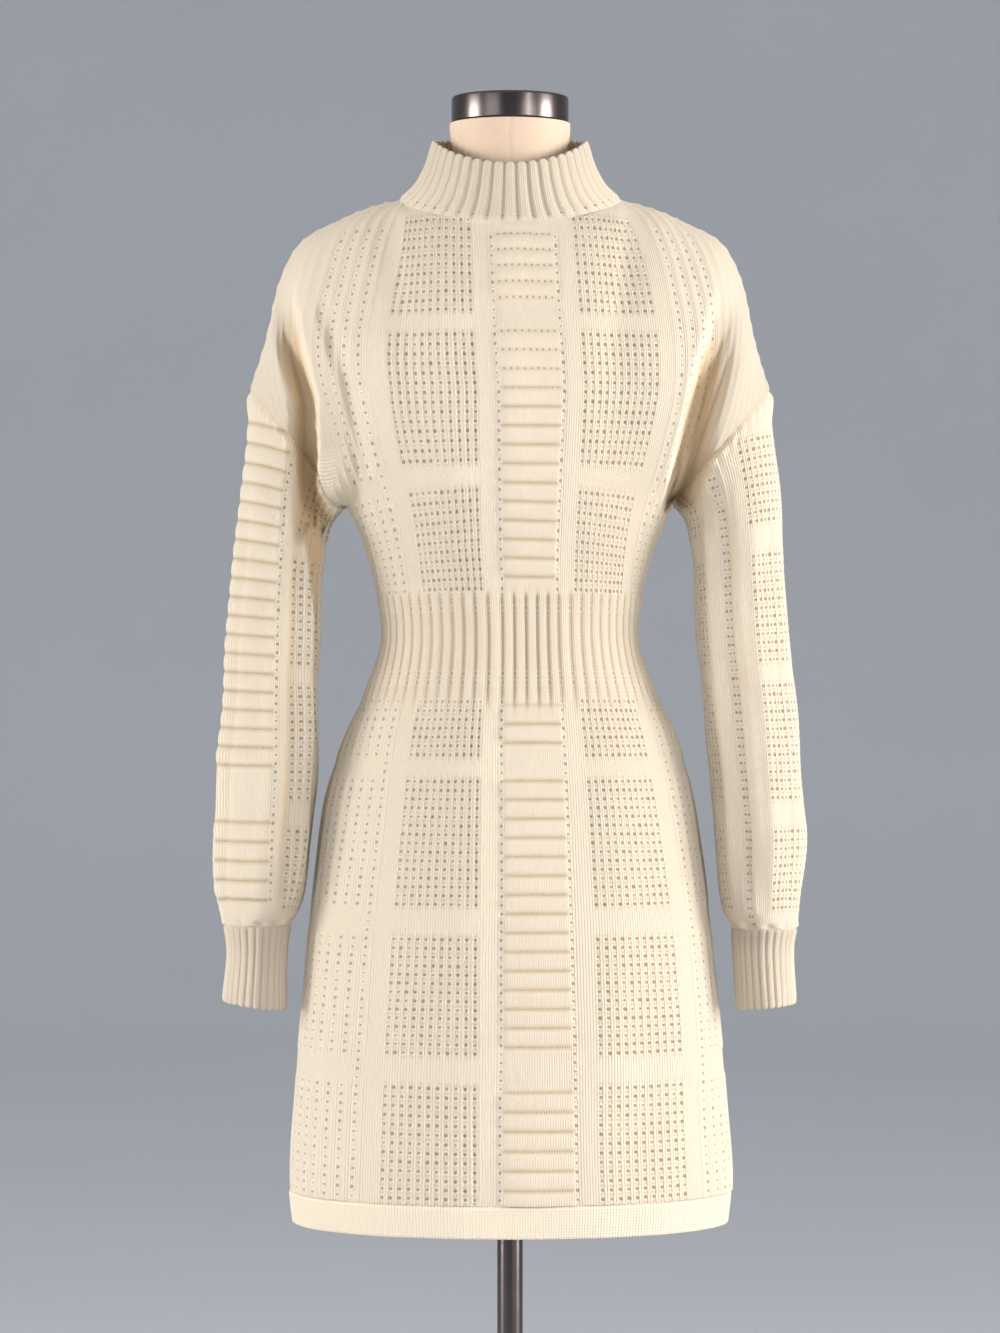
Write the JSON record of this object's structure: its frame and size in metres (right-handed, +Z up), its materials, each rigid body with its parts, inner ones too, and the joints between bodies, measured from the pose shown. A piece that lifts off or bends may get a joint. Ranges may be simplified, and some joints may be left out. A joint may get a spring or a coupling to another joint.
{
  "type": "sweater dress on dress form",
  "caption": "Knitted dress with ribbed funnel neck, waist and cuffs, drop shoulders and long empty sleeves, worn by a limbless dress form on a pole with a round base.",
  "frame": {"origin": "centre of the base plate's underside, on the floor", "axes": "+Z up along the pole, the dress faces -Y, +X to the wearer's left"},
  "size_m": [0.5223, 0.38, 1.601],
  "materials": {
    "knit": "cream cotton knit, plain and eyelet",
    "rib": "cream cotton rib knit",
    "linen": "peach-beige linen cover",
    "gunmetal": "dark brushed gunmetal",
    "base_steel": "dark satin coat on steel"
  },
  "bodies": {
    "root": {"bodice_front": "knit", "bodice_back": "knit", "waist_rib_front": "rib", "waist_rib_back": "rib", "skirt_front": "knit", "skirt_back": "knit", "hem_front": "rib", "hem_back": "rib", "collar": "rib", "sleeve_left": "knit", "sleeve_right": "knit", "cuff_left": "rib", "cuff_right": "rib", "form_body": "linen", "neck_cap": "gunmetal", "form_flange": "gunmetal", "pole": "gunmetal", "base_socket": "gunmetal", "base_plate": "base_steel"}
  },
  "joints": []
}
